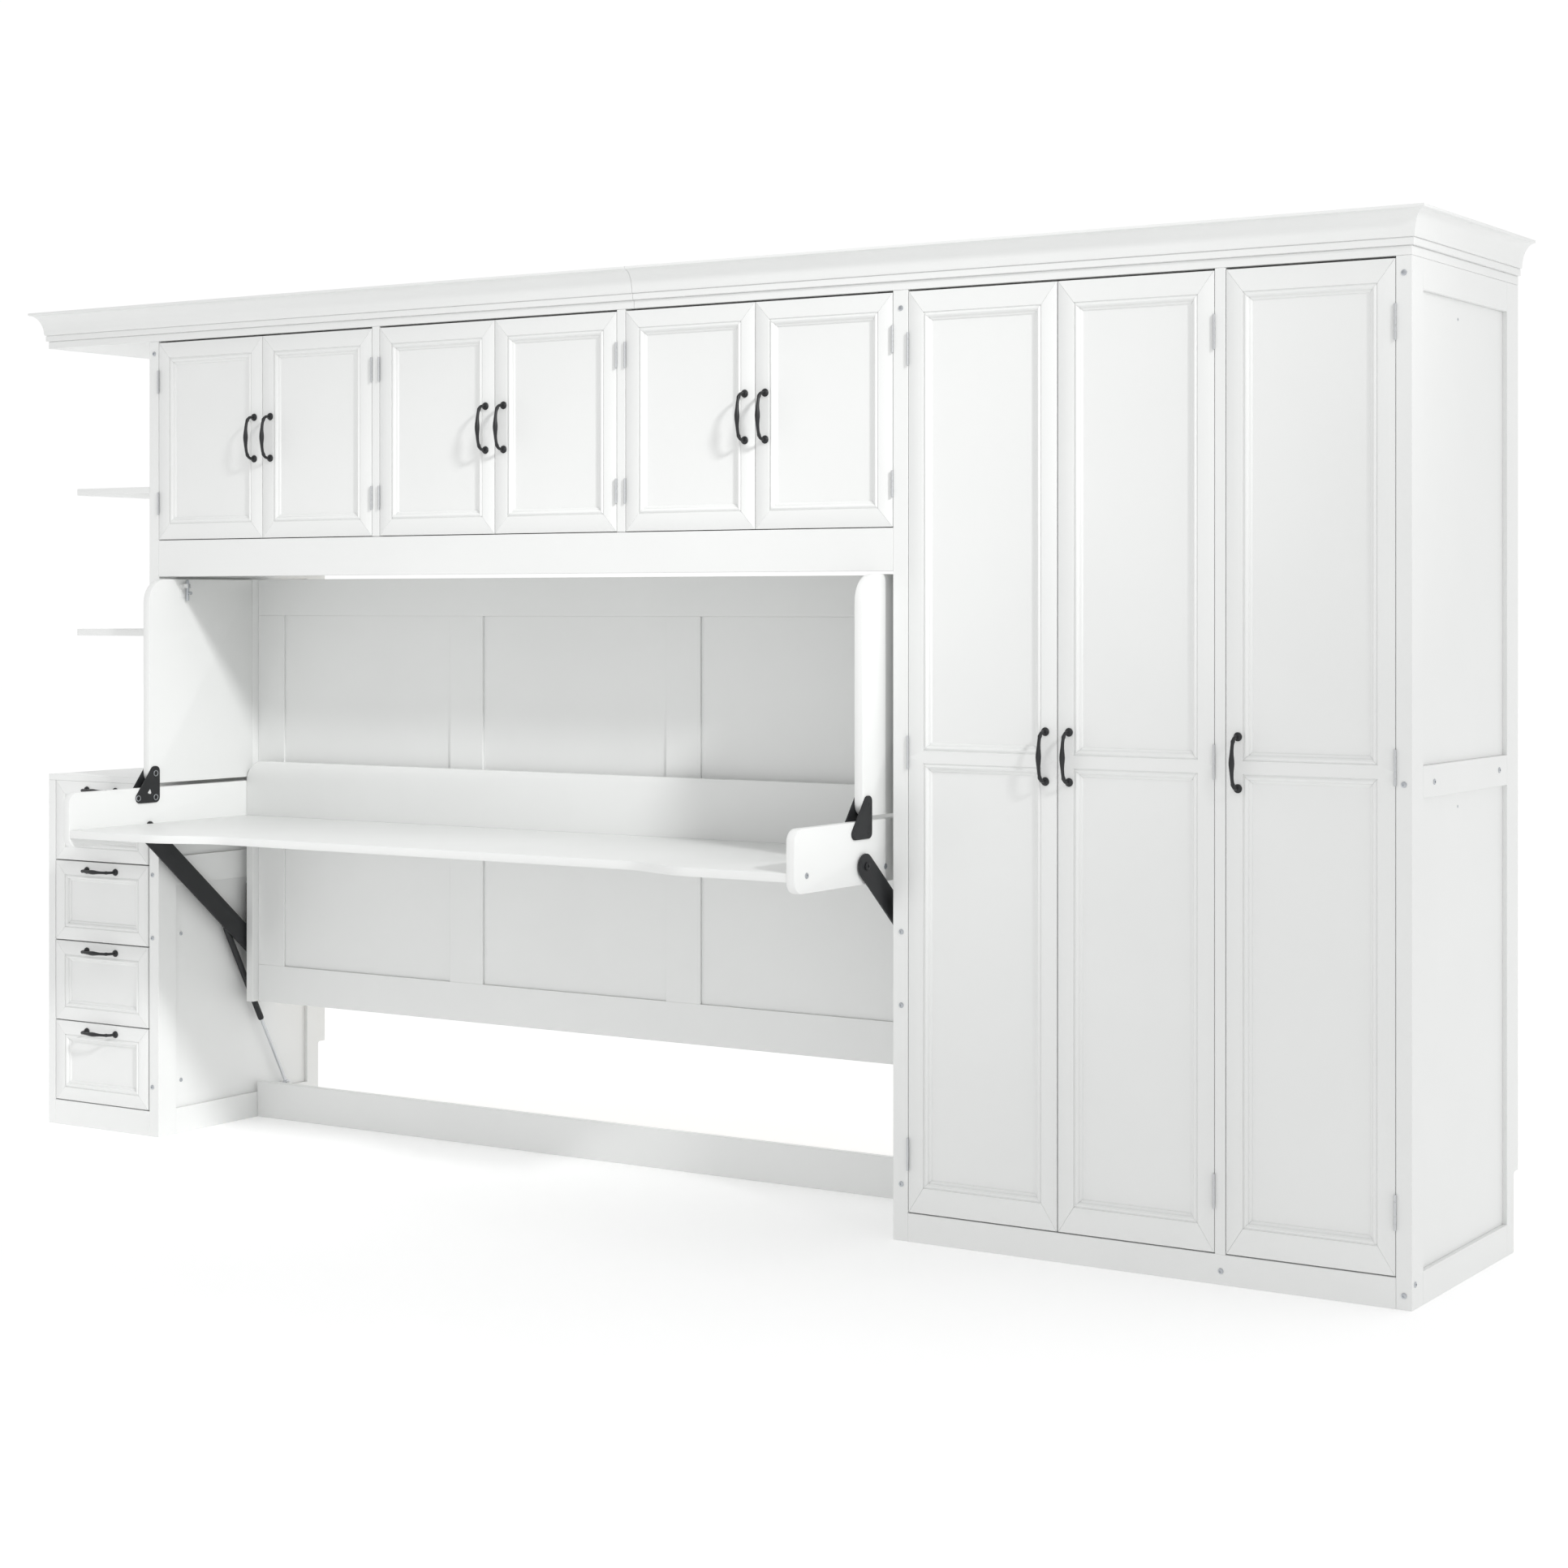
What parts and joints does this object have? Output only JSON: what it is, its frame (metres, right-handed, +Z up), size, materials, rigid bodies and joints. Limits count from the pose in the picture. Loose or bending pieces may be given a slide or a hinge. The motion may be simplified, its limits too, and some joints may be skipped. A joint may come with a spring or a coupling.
{
  "type": "wall bed",
  "caption": "Sideways fold-down wall bed that carries a level desk, with overhead doors, a wardrobe, open shelves and a drawer tower.",
  "frame": {"origin": "the middle of the whole piece's box, on the floor, with the desk up and all doors closed", "axes": "+X along the piece, from the drawer tower to the wardrobe; +Y into the wall; +Z up"},
  "size_m": [3.539, 0.909, 1.975],
  "materials": {
    "painted_board": "satin white paint on fibreboard",
    "liner_board": "matt white board",
    "slat_timber": "bare poplar",
    "black_steel": "black powder coat",
    "strut_rod": "polished"
  },
  "bodies": {
    "carcass": {"wardrobe_right_side": "painted_board", "niche_left_side": "painted_board", "wardrobe_left_side": "painted_board", "wardrobe_divider": "painted_board", "wardrobe_face_frame": "painted_board", "upper_cabinet_shell": "painted_board", "valance": "painted_board", "upper_shelf": "painted_board", "lower_shelf": "painted_board", "crown_moulding": "painted_board", "drawer_tower_shell": "painted_board", "rear_stretcher": "painted_board", "wardrobe_shell": "liner_board", "pivot_plate_left": "black_steel", "pivot_plate_right": "black_steel"},
    "upper_door_1": {"upper_door_1": "painted_board", "upper_pull_1": "black_steel"},
    "upper_door_2": {"upper_door_2": "painted_board", "upper_pull_2": "black_steel"},
    "upper_door_3": {"upper_door_3": "painted_board", "upper_pull_3": "black_steel"},
    "upper_door_4": {"upper_door_4": "painted_board", "upper_pull_4": "black_steel"},
    "upper_door_5": {"upper_door_5": "painted_board", "upper_pull_5": "black_steel"},
    "upper_door_6": {"upper_door_6": "painted_board", "upper_pull_6": "black_steel"},
    "wardrobe_door_1": {"wardrobe_door_1": "painted_board", "wardrobe_pull_1": "black_steel"},
    "wardrobe_door_2": {"wardrobe_door_2": "painted_board", "wardrobe_pull_2": "black_steel"},
    "wardrobe_door_3": {"wardrobe_door_3": "painted_board", "wardrobe_pull_3": "black_steel"},
    "drawer_1": {"drawer_1": "painted_board", "drawer_pull_1": "black_steel"},
    "drawer_2": {"drawer_2": "painted_board", "drawer_pull_2": "black_steel"},
    "drawer_3": {"drawer_3": "painted_board", "drawer_pull_3": "black_steel"},
    "drawer_4": {"drawer_4": "painted_board", "drawer_pull_4": "black_steel"},
    "bed": {"bed_end_board_left": "painted_board", "bed_end_board_right": "painted_board", "bed_leg_left": "painted_board", "bed_leg_right": "painted_board", "bed_face": "painted_board", "slat_base": "slat_timber"},
    "latch_bolt": {"latch_bolt": "black_steel"},
    "desk": {"desk_top": "painted_board", "desk_back_board": "painted_board", "desk_side_left": "painted_board", "desk_side_right": "painted_board", "desk_hinge_left": "black_steel", "desk_hinge_right": "black_steel"},
    "link_bars": {"link_bar_left": "black_steel", "link_bar_right": "black_steel"},
    "strut_cylinders": {"strut_cylinder_left": "black_steel", "strut_cylinder_right": "black_steel"},
    "strut_rods": {"strut_rod_left": "strut_rod", "strut_rod_right": "strut_rod"}
  },
  "joints": [
    {"name": "bed_fold", "type": "hinge", "parent": "carcass", "child": "bed", "pos_m": [-0.3525, 0.1965, 0.543], "axis": [1, 0, 0], "range_deg": [0, 90], "stiffness_Nm_per_rad": 60, "springref_deg": -57.3},
    {"name": "desk_level", "type": "hinge", "parent": "bed", "child": "desk", "pos_m": [-0.3525, -0.1865, 0.869], "axis": [1, 0, 0], "range_deg": [-90.5, 0.5]},
    {"name": "link_swing", "type": "hinge", "parent": "carcass", "child": "link_bars", "pos_m": [-0.3525, 0.1795, 0.422], "axis": [1, 0, 0], "range_deg": [-0.5, 90.5]},
    {"name": "strut_swing", "type": "hinge", "parent": "carcass", "child": "strut_rods", "pos_m": [-0.3525, 0.3025, 0.07], "axis": [1, 0, 0], "range_deg": [-0.2, 8.68]},
    {"name": "strut_slide", "type": "slide", "parent": "strut_rods", "child": "strut_cylinders", "axis": [0, 0.4658, -0.8849], "range_m": [-0.001, 0.1546]},
    {"name": "latch_slide", "type": "slide", "parent": "bed", "child": "latch_bolt", "axis": [0, 0, 1], "range_m": [0, 0.014]},
    {"name": "upper_door_1_swing", "type": "hinge", "parent": "carcass", "child": "upper_door_1", "pos_m": [-1.36275, -0.133, 1.65], "axis": [0, 0, 1], "range_deg": [-100, 0]},
    {"name": "upper_door_2_swing", "type": "hinge", "parent": "carcass", "child": "upper_door_2", "pos_m": [-0.70075, -0.133, 1.65], "axis": [0, 0, 1], "range_deg": [0, 85]},
    {"name": "upper_door_3_swing", "type": "hinge", "parent": "carcass", "child": "upper_door_3", "pos_m": [-0.67825, -0.133, 1.65], "axis": [0, 0, 1], "range_deg": [-85, 0]},
    {"name": "upper_door_4_swing", "type": "hinge", "parent": "carcass", "child": "upper_door_4", "pos_m": [-0.02125, -0.133, 1.65], "axis": [0, 0, 1], "range_deg": [0, 85]},
    {"name": "upper_door_5_swing", "type": "hinge", "parent": "carcass", "child": "upper_door_5", "pos_m": [0.00175, -0.133, 1.65], "axis": [0, 0, 1], "range_deg": [-85, 0]},
    {"name": "upper_door_6_swing", "type": "hinge", "parent": "carcass", "child": "upper_door_6", "pos_m": [0.65775, -0.133, 1.65], "axis": [0, 0, 1], "range_deg": [0, 85]},
    {"name": "wardrobe_door_1_swing", "type": "hinge", "parent": "carcass", "child": "wardrobe_door_1", "pos_m": [0.69325, -0.133, 0.971], "axis": [0, 0, 1], "range_deg": [-90, 0]},
    {"name": "wardrobe_door_2_swing", "type": "hinge", "parent": "carcass", "child": "wardrobe_door_2", "pos_m": [1.35175, -0.133, 0.971], "axis": [0, 0, 1], "range_deg": [0, 100]},
    {"name": "wardrobe_door_3_swing", "type": "hinge", "parent": "carcass", "child": "wardrobe_door_3", "pos_m": [1.7036, -0.133, 0.971], "axis": [0, 0, 1], "range_deg": [0, 100]},
    {"name": "drawer_1_slide", "type": "slide", "parent": "carcass", "child": "drawer_1", "axis": [0, -1, 0], "range_m": [0, 0.4]},
    {"name": "drawer_2_slide", "type": "slide", "parent": "carcass", "child": "drawer_2", "axis": [0, -1, 0], "range_m": [0, 0.4]},
    {"name": "drawer_3_slide", "type": "slide", "parent": "carcass", "child": "drawer_3", "axis": [0, -1, 0], "range_m": [0, 0.4]},
    {"name": "drawer_4_slide", "type": "slide", "parent": "carcass", "child": "drawer_4", "axis": [0, -1, 0], "range_m": [0, 0.4]}
  ],
  "couplings": [
    {"joint": "desk_level", "follows": "bed_fold", "ratio": -1},
    {"joint": "link_swing", "follows": "bed_fold", "ratio": 1},
    {"joint": "strut_swing", "follows": "bed_fold", "ratio": 0.09314},
    {"joint": "strut_slide", "follows": "bed_fold", "m_per_rad": 0.097466}
  ]
}
